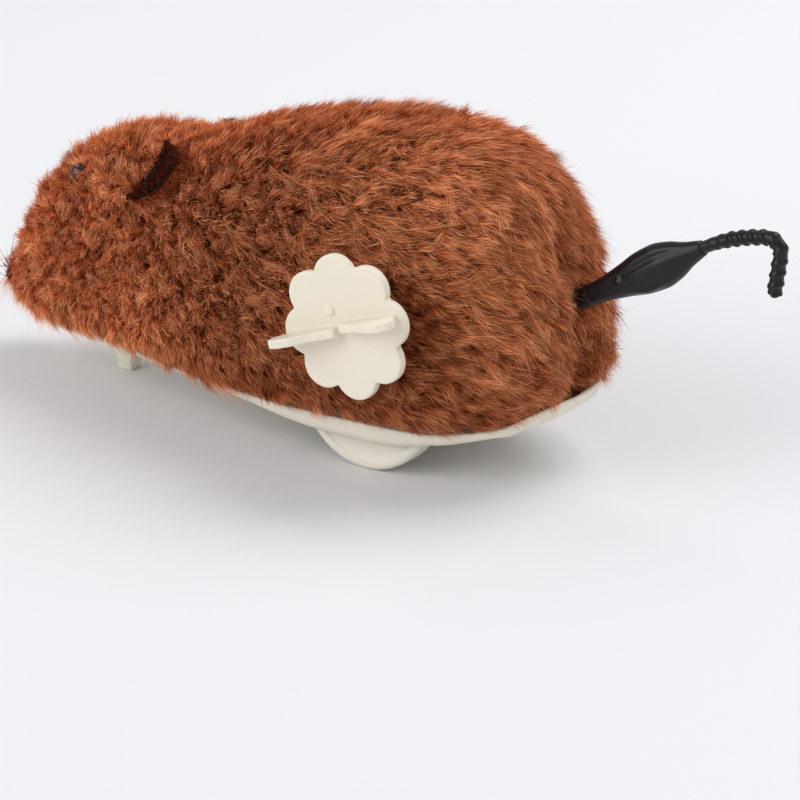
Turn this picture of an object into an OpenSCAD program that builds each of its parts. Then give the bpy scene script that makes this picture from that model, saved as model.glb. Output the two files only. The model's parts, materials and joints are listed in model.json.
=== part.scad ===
// Clockwork plush mouse. Nose towards -Y, winding knob on +X, up is +Z, millimetres.
// The origin is the middle of the front foot's flat sole, on the ground.

/* [Body] */
// Distance from the front foot to the rear axle
wheelbase = 62; // [61:0.5:63]
// Depth of the pile and its backing cloth together
fur_depth = 4.2; // [3.6:0.1:4.2]
// Wall of the hard body shell inside the fur
shell_wall = 1.3; // [1:0.1:1.4]
// Wall of the base tray
base_wall = 1.2; // [1:0.1:1.3]
// Width of the base tray as a share of the body's width
base_share = 0.8; // [0.78:0.01:0.82]
// Depth of the crease between the two haunches
crease_depth = 4.5; // [3:0.5:5]

/* [Wheels] */
// Radius of the drive wheels
wheel_r = 13; // [12.8:0.1:13.2]
// Width of each drive wheel
wheel_w = 4.7; // [4:0.1:4.7]
// Distance from the middle of the toy to a wheel's inner face
wheel_in = 11.3; // [11.2:0.1:11.5]
// Radius of the rear axle
axle_r = 1; // [0.8:0.05:1.1]

/* [Motor] */
// How far the key arbor lies behind the axle
key_behind = 4.9; // [4.7:0.1:5.1]
// Height of the key arbor above the ground
key_z = 29; // [28.8:0.1:29.2]
// Turns in the mainspring
spring_turns = 7; // [5:1:8]
// Thickness of the mainspring strip
spring_strip = 0.25; // [0.2:0.05:0.3]
// Outer radius of the mainspring
spring_r = 8; // [7.6:0.1:8.2]

/* [Winding knob] */
// Outer radius of the flower-shaped disc
knob_r = 12; // [11:0.5:13]
// Number of petals
petals = 8; // [7:1:9]
// Thickness of the disc
knob_t = 1.6; // [1.2:0.1:2]
// Turn of the finger wings from level
wing_turn = 17; // [0:1:90]

/* [Tail] */
// Angle of the tail above level
tail_tilt = 30; // [28:1:32]
// Radius of the ribbed whip
whip_r = 1.15; // [1:0.05:1.2]
// Widest part of the tail's leaf
leaf_w = 7.5; // [6:0.5:8]

/* [Face] */
// Radius of an eye bead
eye_r = 2; // [1.5:0.1:2.5]
// Length of an ear from point to point
ear_l = 13; // [11:0.5:15]
// How far an ear stands out from its seam
ear_w = 6.2; // [5:0.1:7]

/* [Hidden] */
$fn = 48;

fur_color = [0.58, 0.28, 0.19];
ear_color = [0.16, 0.09, 0.07];
cream = [0.93, 0.90, 0.84];
nylon = [0.90, 0.89, 0.85];
steel = [0.66, 0.67, 0.69];
brass = [0.78, 0.63, 0.33];
black = [0.05, 0.05, 0.055];

// Body outline: y, half width, lower edge, height of the widest place, top
body_line = [
  [-24.5, 2.3, 11.2, 12.8, 16],
  [-21, 5.2, 10.8, 13.8, 23.7],
  [-15, 9.8, 10.4, 14, 33],
  [-6, 13.5, 10.6, 14.5, 41.5],
  [5, 16, 10.8, 16, 46],
  [18, 18.5, 10, 17, 47],
  [32, 21, 9.4, 19, 51.4],
  [48, 23.5, 9.4, 20.5, 55.4],
  [62, 23.5, 9.6, 21, 57],
  [74, 22.5, 9.8, 21, 56.2],
  [82, 20.3, 11, 21, 52.4],
  [88, 16, 12.4, 22, 45],
  [92, 11, 15, 23, 36]
];
nose_tip = [0, -26.4, 12.8];
rump_tip = [0, 95.5, 24.5];
body_half_w = 23.5;
body_top = 57;
body_floor = 8.6;
body_len = rump_tip.y - nose_tip.y;
body_mid = (rump_tip.y + nose_tip.y) / 2;

section_power = 0.87;   // a little squarer than an ellipse
section_dip = 35;       // how far each side tucks under the body, in degrees
row_count = 28;
col_count = 24;
cap_steps = [24, 46, 66];
ear_seam = 1.4;

// Underside of the base tray: y, height
base_line = [
  [-20, 9], [-16, 8.4], [-8, 8.1], [12, 7.9], [27, 7.4], [40, 6.2], [48, 4.9],
  [54, 4.2], [66, 4.2], [75, 6], [83, 8.4], [89, 10], [92, 11.8]
];
base_front = -21.5;
base_rear = 94;
base_gap = 0.4;         // between the tray's rim and the fur's lower edge
base_rows = 26;
base_cols = 16;

// Motor, side view points are [y, z] measured from the axle's foot on the ground
gear_module = 0.5;
pressure_angle = 25;
tooth_thinning = 0.03;  // taken from each flank
great_teeth = 36;
small_teeth = 10;
idler_teeth = 28;
crown_teeth = 22;
axle_pos = [0, wheel_r];
key_pos = [key_behind, key_z];
front_pillar = [-8, 35.5];
rear_pillar = [15.5, 34];
great_reach = gear_module * (great_teeth + small_teeth) / 2;
idler_reach = gear_module * (idler_teeth + small_teeth) / 2;
key_to_axle = key_pos - axle_pos;
key_dist = norm(key_to_axle);
idler_along = (idler_reach ^ 2 - great_reach ^ 2 + key_dist ^ 2) / (2 * key_dist);
idler_aside = sqrt(idler_reach ^ 2 - idler_along ^ 2);
key_dir = key_to_axle / key_dist;
idler_pos = axle_pos + key_dir * idler_along + [-key_dir.y, key_dir.x] * idler_aside;
great_phase = atan2(idler_pos.y - key_pos.y, idler_pos.x - key_pos.x);
idler_phase = atan2(axle_pos.y - idler_pos.y, axle_pos.x - idler_pos.x);

plate_in = 9.6;
plate_t = 1.2;
plate_out = plate_in + plate_t;
arbor_r = 1.5;
idler_pin_r = 0.8;
pillar_r = 1.6;
rivet_r = 0.9;
running = 0.05;         // radial play of every running fit
bar_z = 9.8;
bar_h = 4;
bar_w = 5;
bar_y = [-13, 14];
spring_w = 5.2;
arbor_end = 26;

screw_r = 1;
screw_head_r = 1.9;
screw_head_h = 0.9;
// Shell screws: x, y, underside of the base there, top of the base's pad
shell_screws = [[0, 12, 7.9, 11], [9.5, 84, 8.8, 11.3], [-9.5, 84, 8.8, 11.3]];
post_r = 2.5;
pad_r = 3.2;

crown_r = gear_module * crown_teeth / 2;
crown_face = [4.85, 6.05];   // inner and outer ends of the crown teeth
crown_disc_r = 6.2;
tail_shaft_r = 0.9;
sleeve_start = 36;
sleeve_end = 62;
shaft_end = 42;

// ---- helpers -------------------------------------------------------------

function secant(t, i, c) = (t[i + 1][c] - t[i][c]) / (t[i + 1][0] - t[i][0]);

function mean_slope(a, b) = a * b <= 0 ? 0 : 2 * a * b / (a + b);

function slope(t, i, c) =
  i == 0 ? secant(t, 0, c) :
  i == len(t) - 1 ? secant(t, len(t) - 2, c) :
  mean_slope(secant(t, i - 1, c), secant(t, i, c));

function span_of(t, y, i = 0) = i >= len(t) - 2 || y < t[i + 1][0] ? i : span_of(t, y, i + 1);

function clamp(v, low, high) = min(max(v, low), high);

// Smooth curve through column c of table t
function along(t, y, c) = let(
    y = clamp(y, t[0][0], t[len(t) - 1][0]),
    i = span_of(t, y),
    h = t[i + 1][0] - t[i][0],
    s = (y - t[i][0]) / h)
  (2 * s ^ 3 - 3 * s ^ 2 + 1) * t[i][c] + (s ^ 3 - 2 * s ^ 2 + s) * h * slope(t, i, c)
  + (3 * s ^ 2 - 2 * s ^ 3) * t[i + 1][c] + (s ^ 3 - s ^ 2) * h * slope(t, i + 1, c);

function signed_power(v, p) = sign(v) * abs(v) ^ p;

function section_point(y, phi, lift) = let(
    low = along(body_line, y, 2) + lift,
    wide = along(body_line, y, 3),
    top = along(body_line, y, 4),
    rise = signed_power(sin(phi), section_power))
  [along(body_line, y, 1) * signed_power(cos(phi), section_power), y,
   rise > 0 ? wide + (top - wide) * rise : wide + (wide - low) * rise / sin(section_dip) ^ section_power];

function section_row(y, lift) =
  [for (j = [0:col_count]) section_point(y, -section_dip + (180 + 2 * section_dip) * j / col_count, lift)];

// Rings that round an end section off towards its tip
function cap_ring(row, tip, a) =
  [for (p = row) [p.x * cos(a), p.y + (tip.y - p.y) * sin(a), tip.z + (p.z - tip.z) * cos(a)]];

function ramp(v) = clamp(v, 0, 1);

function creased(p) =
  [p.x, p.y - crease_depth * exp(-(p.x / 3) ^ 2) * ramp((p.y - 80) / 12) ^ 2
   * ramp((46 - p.z) / 8) * ramp((p.z - 14) / 5), p.z];

function body_rows(lift = 0) = let(
    first = body_line[0][0],
    last = body_line[len(body_line) - 1][0],
    front = section_row(first, lift),
    rear = section_row(last, lift),
    rows = concat(
      [for (k = [len(cap_steps) - 1:-1:0]) cap_ring(front, nose_tip, cap_steps[k])],
      [for (i = [0:row_count - 1]) section_row((first + last) / 2 - (last - first) / 2
        * cos(180 * i / (row_count - 1)), lift)],
      [for (a = cap_steps) cap_ring(rear, rump_tip, a)]))
  [for (row = rows) [for (p = row) creased(p)]];

// The same skin moved inwards by t
function inward(p, t) = [
  p.x * (body_half_w - t) / body_half_w,
  body_mid + (p.y - body_mid) * (body_len - 2 * t) / body_len,
  body_floor + (p.z - body_floor) * (body_top - body_floor - t) / (body_top - body_floor)];

function inward_rows(rows, t) = [for (row = rows) [for (p = row) inward(p, t)]];

function joined(rows) = [for (row = rows) each row];

// An open skin with thickness: a dome, or a bowl when its rows run the other way
module skin(outer, inner, outer_ends, inner_ends) {
  r = len(outer);
  c = len(outer[0]);
  inside = r * c + 2;
  points = concat([outer_ends[0]], joined(outer), [outer_ends[1]],
                  [inner_ends[0]], joined(inner), [inner_ends[1]]);
  quads = [for (i = [0:r - 2], j = [0:c - 2]) let(a = 1 + i * c + j) [a, a + 1, a + c + 1, a + c]];
  front = [for (j = [0:c - 2]) [0, j + 2, j + 1]];
  rear = [for (j = [0:c - 2]) let(a = 1 + (r - 1) * c + j) [a, a + 1, r * c + 1]];
  outside = concat([for (q = quads) [q[0], q[1], q[2]]], [for (q = quads) [q[0], q[2], q[3]]], front, rear);
  first_rim = concat([0], [for (i = [0:r - 1]) 1 + i * c], [r * c + 1]);
  last_rim = concat([0], [for (i = [0:r - 1]) (i + 1) * c], [r * c + 1]);
  rim_a = [for (k = [0:r]) each [
    [first_rim[k], first_rim[k + 1], first_rim[k + 1] + inside],
    [first_rim[k], first_rim[k + 1] + inside, first_rim[k] + inside]]];
  rim_b = [for (k = [0:r]) each [
    [last_rim[k], last_rim[k + 1] + inside, last_rim[k + 1]],
    [last_rim[k], last_rim[k] + inside, last_rim[k + 1] + inside]]];
  polyhedron(points, concat(outside,
    [for (f = outside) [f[2] + inside, f[1] + inside, f[0] + inside]], rim_a, rim_b));
}

// A closed solid through rows that are each a closed loop
module loft(rows, front_tip, rear_tip) {
  r = len(rows);
  c = len(rows[0]);
  function at(i, j) = 1 + i * c + j % c;
  polyhedron(concat([front_tip], joined(rows), [rear_tip]), concat(
    [for (i = [0:r - 2], j = [0:c - 1]) each [
      [at(i, j), at(i, j + 1), at(i + 1, j + 1)],
      [at(i, j), at(i + 1, j + 1), at(i + 1, j)]]],
    [for (j = [0:c - 1]) [0, at(0, j + 1), at(0, j)]],
    [for (j = [0:c - 1]) [at(r - 1, j), at(r - 1, j + 1), r * c + 1]]));
}

// Side view frame: local x runs rearwards, y up and z towards the knob
module side(x) {
  translate([x, wheelbase, 0]) rotate([90, 0, 90]) children();
}

// A round piece along X between two values of x, at a side view point
module round_x(p, r, x0, x1) {
  side(x0) translate(p) cylinder(r = r, h = x1 - x0);
}

// Tail frame: local z runs out along the tail from the middle of the axle
module along_tail(s = 0) {
  translate([0, wheelbase, wheel_r]) rotate([tail_tilt - 90, 0, 0]) translate([0, 0, s]) children();
}

module both_sides() {
  children();
  mirror([1, 0, 0]) children();
}

function polar(r, a) = [r * cos(a), r * sin(a)];

function involute(a) = tan(a) * 180 / PI - a;

// Half of a tooth's angle at radius r
function half_tooth(teeth, r) = let(
    pitch = gear_module * teeth / 2,
    base = pitch * cos(pressure_angle),
    a = r > base ? acos(base / r) : 0)
  90 / teeth - tooth_thinning / pitch * 180 / PI + involute(pressure_angle) - involute(a);

function flank_radii(teeth) = let(
    pitch = gear_module * teeth / 2,
    root = pitch - 1.1 * gear_module,
    tip = pitch + 0.8 * gear_module,
    start = max(root, pitch * cos(pressure_angle)))
  concat(start > root ? [root] : [], [for (k = [0:3]) start + (tip - start) * k / 3]);

// Spur gear with a tooth that points along phase
module spur(teeth, phase) {
  radii = flank_radii(teeth);
  n = len(radii);
  polygon([for (k = [0:teeth - 1]) let(mid = phase + 360 * k / teeth) each concat(
    [for (r = radii) polar(r, mid - half_tooth(teeth, r))],
    [for (i = [n - 1:-1:0]) polar(radii[i], mid + half_tooth(teeth, radii[i]))])]);
}

// ---- body ----------------------------------------------------------------

module wheel_arches(x_out) {
  both_sides() round_x(axle_pos, wheel_r + 1, wheel_in - 0.4, x_out);
}

module fur_cover() {
  rows = body_rows();
  color(fur_color) difference() {
    skin(rows, inward_rows(rows, fur_depth), [nose_tip, rump_tip - [0, crease_depth, 0]],
         [inward(nose_tip, fur_depth), inward(rump_tip - [0, crease_depth, 0], fur_depth)]);
    round_x(key_pos, 4, 10, 30);
    along_tail(24) cylinder(r = 2.4, h = 24);
    wheel_arches(16.4);
  }
}

module body_shell() {
  gap = fur_depth + 0.3;
  rows = body_rows(0.4);
  ends = [nose_tip, rump_tip - [0, crease_depth, 0]];
  color(cream) difference() {
    union() {
      skin(inward_rows(rows, gap), inward_rows(rows, gap + shell_wall),
           [for (e = ends) inward(e, gap)], [for (e = ends) inward(e, gap + shell_wall)]);
      intersection() {
        loft(inward_rows(rows, gap + shell_wall / 2), inward(ends[0], gap + shell_wall / 2),
             inward(ends[1], gap + shell_wall / 2));
        for (s = shell_screws) translate([s[0], s[1], s[3]]) cylinder(r = post_r, h = 50);
      }
    }
    for (s = shell_screws) translate([s[0], s[1], 0]) cylinder(r = screw_r + 0.05, h = s[3] + 7);
    round_x(key_pos, 2, 10, 30);
    along_tail(24) cylinder(r = 1.6, h = 24);
    wheel_arches(16.4);
  }
}

function rim_z(y) = along(body_line, y, 2) - base_gap;

function tray_row(y, wall) = let(
    w = base_share * along(body_line, y, 1) - wall,
    top = rim_z(y),
    low = wall > 0 ? min(along(base_line, y, 1) + wall, top - 0.25) : along(base_line, y, 1))
  [for (j = [0:base_cols]) let(a = 180 + 180 * j / base_cols)
    [w * signed_power(cos(a), 0.5), y, top - (top - low) * abs(sin(a)) ^ 0.5]];

module tray() {
  first = base_line[0][0];
  last = base_line[len(base_line) - 1][0];
  function row_y(i, inset) = first + inset + (last - first - 2 * inset) * i / (base_rows - 1);
  skin([for (i = [0:base_rows - 1]) tray_row(row_y(i, 0), 0)],
       [for (i = [0:base_rows - 1]) tray_row(row_y(i, base_wall), base_wall)],
       [[0, base_front, rim_z(first)], [0, base_rear, rim_z(last)]],
       [[0, base_front + 2, rim_z(first)], [0, base_rear - base_wall, rim_z(last)]]);
}

module foot_profile() {
  polygon([[-1.5, 0], [1.5, 0], [2.5, 9], [-2.5, 9]]);
}

module front_foot() {
  intersection() {
    rotate([90, 0, 0]) linear_extrude(6, center = true) foot_profile();
    rotate([90, 0, 90]) linear_extrude(6, center = true) foot_profile();
  }
}

module screw_recess(x, y, head_top) {
  translate([x, y, 0]) cylinder(r = screw_head_r + 0.2, h = head_top);
  translate([x, y, 0]) cylinder(r = screw_r + 0.1, h = 16);
}

module base() {
  color(cream) difference() {
    union() {
      tray();
      front_foot();
      side(-9.4) linear_extrude(18.8) {
        polygon([[-15.5, 5.6], [-10.5, 4.9], [-10.5, bar_z], [-15.5, bar_z]]);
        polygon([[11.5, 6.2], [16.5, 7.5], [16.5, bar_z], [11.5, bar_z]]);
      }
      for (s = shell_screws) translate([s[0], s[1], s[2] + 0.6]) cylinder(r = pad_r, h = s[3] - s[2] - 0.6);
    }
    both_sides() translate([wheel_in - 0.4, wheelbase - wheel_r - 1, -1]) cube([wheel_w + 0.9, 2 * wheel_r + 2, 20]);
    for (s = shell_screws) screw_recess(s[0], s[1], s[2] + 1.1);
    screw_recess(0, wheelbase + bar_y[0], 7);
    screw_recess(0, wheelbase + bar_y[1], 8.7);
  }
}

// A countersunk-in screw whose head's top face is at head_top
module screw(x, y, head_top, tip) {
  translate([x, y, head_top - screw_head_h]) difference() {
    union() {
      cylinder(r = screw_head_r, h = screw_head_h);
      cylinder(r = screw_r, h = tip - head_top + screw_head_h);
    }
    translate([0, 0, 0.2]) cube([0.5, 2.4, 1], center = true);
    translate([0, 0, 0.2]) cube([2.4, 0.5, 1], center = true);
  }
}

module base_screws() {
  color(steel) for (s = shell_screws) screw(s[0], s[1], s[2] + 1.1, s[3] + 6);
}

// ---- face ----------------------------------------------------------------

// A cupped leaf laid back on the head: its flatter edge is sewn across the head
module ear() {
  cup_r = 16;
  leaf_r = ((ear_l / 2) ^ 2 + ear_w ^ 2) / (2 * ear_w);
  seam_r = ((ear_l / 2) ^ 2 + ear_seam ^ 2) / (2 * ear_seam);
  translate([16.2, 13.8, 37.3]) rotate([45, -20, 61]) intersection() {
    translate([0, 0, -4]) linear_extrude(8) intersection() {
      translate([ear_w - leaf_r, ear_l / 2]) circle(r = leaf_r);
      translate([seam_r - ear_seam, ear_l / 2]) circle(r = seam_r);
    }
    translate([2.2, ear_l / 2, cup_r - 1]) difference() {
      sphere(r = cup_r);
      sphere(r = cup_r - 1.1);
    }
  }
}

module ear_left() {
  color(ear_color) ear();
}

module ear_right() {
  color(ear_color) mirror([1, 0, 0]) ear();
}

module eye() {
  translate([8.1, -4.2, 37.4]) sphere(r = eye_r);
}

module eye_left() {
  color(black) eye();
}

module eye_right() {
  color(black) mirror([1, 0, 0]) eye();
}

module nose() {
  color(black) translate([0, -26, 12.3]) sphere(r = 1.6);
}

// ---- motor frame ---------------------------------------------------------

module motor_plate() {
  side(plate_in) linear_extrude(plate_t) difference() {
    polygon([[-15.5, bar_z], [16.5, bar_z], [18, 20], [18.2, 35.5], [14.5, 37.5],
             [-7, 39], [-11.5, 36], [-15.5, 20]]);
    translate(axle_pos) circle(r = axle_r + running);
    translate(key_pos) circle(r = arbor_r + running);
    translate(idler_pos) circle(r = idler_pin_r);
    translate(front_pillar) circle(r = rivet_r);
    translate(rear_pillar) circle(r = rivet_r);
    translate([-10.6, 15.5]) circle(r = 2.2);
    translate([11.5, 18.5]) circle(r = 2.6);
  }
}

module motor_plate_left() {
  color(nylon) motor_plate();
}

module motor_plate_right() {
  color(nylon) mirror([1, 0, 0]) motor_plate();
}

module frame_pillars() {
  color(steel) for (p = [front_pillar, rear_pillar]) {
    round_x(p, pillar_r, -plate_in, plate_in);
    round_x(p, rivet_r, -plate_out, plate_out);
    round_x(p, 1.4, plate_out, plate_out + 0.35);
    round_x(p, 1.4, -plate_out - 0.35, -plate_out);
  }
}

module mounting_bars() {
  color(nylon) for (y = bar_y) difference() {
    translate([-plate_in, wheelbase + y - bar_w / 2, bar_z]) cube([2 * plate_in, bar_w, bar_h]);
    translate([0, wheelbase + y, bar_z - 1]) cylinder(r = screw_r, h = bar_h + 0.5);
  }
}

module motor_screws() {
  color(steel) {
    screw(0, wheelbase + bar_y[0], 7, bar_z + bar_h - 0.5);
    screw(0, wheelbase + bar_y[1], 8.7, bar_z + bar_h - 0.5);
  }
}

// ---- spring and train ----------------------------------------------------

function spiral_r(k, steps) = 2.4 + (spring_r - 2.4) * k / steps;

module mainspring() {
  steps = 24 * spring_turns;
  pillar_angle = atan2(rear_pillar.y - key_pos.y, rear_pillar.x - key_pos.x);
  reach = norm(rear_pillar - key_pos);
  half = spring_strip / 2;
  color(steel) side(-8.8) linear_extrude(spring_w) {
    translate(key_pos) rotate(pillar_angle) {
      polygon(concat(
        [for (k = [0:steps]) polar(spiral_r(k, steps) + half, 15 * k)],
        [for (k = [steps:-1:0]) polar(spiral_r(k, steps) - half, 15 * k)]));
      translate([spring_r - half, -half]) square([reach - pillar_r - spring_r, spring_strip]);
    }
    translate(rear_pillar) difference() {
      circle(r = pillar_r + 0.05 + spring_strip);
      circle(r = pillar_r + 0.05);
    }
  }
}

module winding_arbor() {
  color(steel) round_x(key_pos, arbor_r, -plate_out - 0.5, arbor_end);
}

module ratchet_wheel() {
  color(brass) side(1.2) translate(key_pos) linear_extrude(1.4) rotate(great_phase) difference() {
    polygon([for (k = [0:9]) each [polar(3.3, 36 * k), polar(4, 36 * k + 36)]]);
    circle(r = arbor_r);
  }
}

module click() {
  polygon([polar(3.55, 4), polar(4.6, 2.5), polar(5.3, 20), polar(6.6, 38), polar(6.2, 46),
           polar(4.75, 24), polar(4.3, 12)]);
}

module great_gear() {
  color(nylon) side(0) translate(key_pos) difference() {
    union() {
      translate([0, 0, 3]) linear_extrude(1.4) spur(great_teeth, great_phase);
      translate([0, 0, 1.4]) linear_extrude(1.6) rotate(great_phase) {
        click();
        rotate(180) click();
      }
      translate([0, 0, 4.4]) cylinder(r = 2.6, h = 4.9);
    }
    cylinder(r = arbor_r + running, h = 12);
  }
}

module idler_gear() {
  color(nylon) side(0) translate(idler_pos) difference() {
    union() {
      translate([0, 0, 2.7]) linear_extrude(2.9) spur(small_teeth, great_phase + 180 + 180 / small_teeth);
      translate([0, 0, 5.6]) linear_extrude(1.4) spur(idler_teeth, idler_phase);
      translate([0, 0, -9.3]) cylinder(r = 1.5, h = 18.6);
    }
    translate([0, 0, -10]) cylinder(r = idler_pin_r + running, h = 20);
  }
}

module idler_pin() {
  color(steel) round_x(idler_pos, idler_pin_r, -plate_out, plate_out);
}

module rear_axle() {
  color(steel) round_x(axle_pos, axle_r, -15.4, 15.4);
}

module axle_pinion() {
  color(brass) side(0) translate(axle_pos) difference() {
    union() {
      translate([0, 0, 5.3]) linear_extrude(2) spur(small_teeth, idler_phase + 180 + 180 / small_teeth);
      translate([0, 0, 7.3]) cylinder(r = 1.8, h = 2);
    }
    cylinder(r = axle_r, h = 12);
  }
}

module crown_tooth() {
  translate([crown_face[0], 0, 1.2]) rotate([90, 0, 90]) linear_extrude(crown_face[1] - crown_face[0])
    polygon([[-0.3, 0], [0.3, 0], [0.3, 0.1], [0.16, 1.3], [-0.16, 1.3], [-0.3, 0.1]]);
}

module crown_gear() {
  color(nylon) side(-4.6) translate(axle_pos) difference() {
    union() {
      cylinder(r = crown_disc_r, h = 1.3);
      translate([0, 0, -2.4]) cylinder(r = 2.2, h = 2.5);
      for (k = [0:crown_teeth - 1]) rotate(tail_tilt + 360 * k / crown_teeth) crown_tooth();
    }
    translate([0, 0, -5]) cylinder(r = axle_r, h = 12);
  }
}

module drive_wheel() {
  side(0) translate(axle_pos) difference() {
    translate([0, 0, wheel_in]) rotate_extrude($fn = 96) polygon([
      [0, 0], [wheel_r - 0.3, 0], [wheel_r, 0.3], [wheel_r, wheel_w - 0.5], [wheel_r - 0.5, wheel_w],
      [wheel_r - 1.6, wheel_w], [wheel_r - 2, wheel_w - 0.5], [4, wheel_w - 0.5], [3.6, wheel_w], [0, wheel_w]]);
    translate([0, 0, wheel_in - 1]) cylinder(r = axle_r, h = 15.4 - wheel_in + 1);
  }
}

module drive_wheel_left() {
  color(cream) drive_wheel();
}

module drive_wheel_right() {
  color(cream) mirror([1, 0, 0]) drive_wheel();
}

// ---- tail ----------------------------------------------------------------

module tail_bearing() {
  seat = bar_z + bar_h;
  color(nylon) difference() {
    union() {
      along_tail(9.5) cylinder(r = 2.2, h = 14.5);
      side(-1.2) linear_extrude(2.4) polygon([[11.8, seat], [16.2, seat], [16.2, 21.5], [11.8, 19]]);
      translate([-4, wheelbase + 11.8, seat]) cube([8, 4.4, 1]);
    }
    along_tail() cylinder(r = tail_shaft_r + running, h = 30);
  }
}

module tail_shaft() {
  color(steel) along_tail(4) cylinder(r = tail_shaft_r, h = shaft_end - 4);
}

module tail_pinion() {
  color(brass) along_tail(4.7) linear_extrude(1.5) difference() {
    spur(small_teeth, 180 / small_teeth);
    circle(r = tail_shaft_r);
  }
}

// Leaf stations: distance along the tail, half width, half thickness
leaf_line = [
  [36, 1.65, 1.65], [41, 1.9, 1.8], [46, 2.7, 2.2], [50, 3.5, 2.6], [53, 3.75, 2.6],
  [56, 3.2, 2.2], [59, 2.1, 1.7], [62, 1.3, 1.3]
];

module tail_sleeve() {
  wide = leaf_w / 7.5;
  rows = [for (k = [0:20]) let(s = sleeve_start + (sleeve_end - sleeve_start) * k / 20)
    [for (j = [0:19]) let(a = -18 * j)
      [along(leaf_line, s, 2) * cos(a), wide * along(leaf_line, s, 1) * sin(a), s]]];
  color(black) difference() {
    along_tail() loft(rows, [0, 0, sleeve_start], [0, 0, sleeve_end]);
    along_tail(sleeve_start - 1) cylinder(r = tail_shaft_r, h = shaft_end - sleeve_start + 1);
  }
}

// A run of the whip as [place, heading] stops: an arc from one heading to a lower one
function whip_run(start, h0, h1, r, n) = let(mid = start - polar(r, h0 + 90))
  [for (k = [1:n]) let(h = h0 + (h1 - h0) * k / n) [mid + polar(r, h + 90), h]];

function whip_ring(stop, r) =
  [for (j = [0:11]) let(across = polar(r * cos(-30 * j), stop[1] + 90))
    [stop[0].x + across.x, stop[0].y + across.y, r * sin(-30 * j)]];

// The whip leaves the leaf along the tail, levels off and hooks down at its end
module tail_whip() {
  level = 7;
  hook_end = -98;
  start = polar(sleeve_end + 0.1, tail_tilt) + axle_pos;
  bend = whip_run(start, tail_tilt, level, 30, 8);
  hook = whip_run(bend[7][0], level, hook_end, 2.2, 12);
  tip = hook[11][0] + polar(6.5, hook_end);
  stops = concat([[start, tail_tilt]], bend, hook, [[tip, hook_end]]);
  color(black) side(0) loft(
    [for (s = stops) whip_ring(s, whip_r)],
    [start.x, start.y, 0],
    [tip.x, tip.y, 0] + [0, -whip_r * 0.7, 0]);
}

// ---- winding knob --------------------------------------------------------

module petal_disc() {
  petal_r = knob_r / 3;
  union() {
    circle(r = knob_r - petal_r);
    for (k = [0:petals - 1]) rotate(15 + 360 * k / petals) translate([knob_r - petal_r, 0]) circle(r = petal_r);
  }
}

module wing() {
  rotate([90, 0, 0]) translate([0, 0, -0.75]) linear_extrude(1.5)
    polygon([[0.5, 0], [10.4, 0], [12.6, 3], [12.2, 4.7], [10.6, 5.4], [8, 5], [4.5, 3.2], [0.5, 2.2]]);
}

module winding_knob() {
  disc_x = arbor_end + 0.5;
  color(cream) side(0) translate(key_pos) difference() {
    union() {
      translate([0, 0, 22.5]) cylinder(r = 3, h = disc_x - 22.5);
      translate([0, 0, disc_x]) linear_extrude(knob_t) petal_disc();
      translate([0, 0, disc_x + knob_t]) rotate(wing_turn) {
        translate([0, 0.3, 0]) wing();
        rotate(180) translate([0, 0.3, 0]) wing();
      }
      translate([0, 0, disc_x + knob_t]) rotate(138) translate([3.6, 0]) cylinder(r = 0.8, h = 0.4);
    }
    translate([0, 0, 22]) cylinder(r = arbor_r, h = arbor_end - 22);
  }
}

fur_cover();
ear_left();
ear_right();
eye_left();
eye_right();
nose();
body_shell();
base();
base_screws();
motor_plate_left();
motor_plate_right();
frame_pillars();
mounting_bars();
motor_screws();
mainspring();
winding_arbor();
ratchet_wheel();
great_gear();
idler_gear();
idler_pin();
rear_axle();
axle_pinion();
crown_gear();
drive_wheel_left();
drive_wheel_right();
tail_bearing();
tail_shaft();
tail_pinion();
tail_sleeve();
tail_whip();
winding_knob();
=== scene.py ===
import json
import math

import bmesh
import bpy
import numpy as np
from mathutils import Matrix, Vector
from mathutils.bvhtree import BVHTree
from mathutils.kdtree import KDTree


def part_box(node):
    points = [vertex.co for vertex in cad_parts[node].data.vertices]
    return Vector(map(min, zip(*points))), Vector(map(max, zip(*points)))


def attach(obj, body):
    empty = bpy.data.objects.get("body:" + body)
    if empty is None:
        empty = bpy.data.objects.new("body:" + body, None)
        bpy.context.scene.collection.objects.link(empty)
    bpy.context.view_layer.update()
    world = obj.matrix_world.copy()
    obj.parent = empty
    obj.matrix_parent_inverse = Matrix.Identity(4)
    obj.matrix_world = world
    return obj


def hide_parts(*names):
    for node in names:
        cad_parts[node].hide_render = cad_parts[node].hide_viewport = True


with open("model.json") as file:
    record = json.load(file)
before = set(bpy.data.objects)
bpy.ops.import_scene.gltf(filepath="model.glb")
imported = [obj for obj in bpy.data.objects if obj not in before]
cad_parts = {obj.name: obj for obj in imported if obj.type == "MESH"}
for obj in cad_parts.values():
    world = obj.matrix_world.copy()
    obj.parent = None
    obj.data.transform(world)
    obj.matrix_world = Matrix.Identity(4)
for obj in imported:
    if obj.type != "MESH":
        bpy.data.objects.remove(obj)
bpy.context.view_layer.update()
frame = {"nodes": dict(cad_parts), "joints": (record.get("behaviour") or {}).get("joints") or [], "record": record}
nodes = frame["nodes"]
joints = {joint["name"]: joint for joint in frame["joints"]}
mm = 0.001

# camera and studio

cameraSetup = {
    "place": (485.5, 398.0, 228.6),  # mm, in the frame
    "azimuth": 125.0,  # degrees round from -Y
    "elevation": 18.5,
    "lens": 170.2,  # mm on a 36 mm sensor
    "shiftY": -0.17,
}


def headingVector(azimuth, elevation):
    a, e = math.radians(azimuth), math.radians(elevation)
    return Vector((math.sin(a) * math.cos(e), -math.cos(a) * math.cos(e), math.sin(e)))


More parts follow.
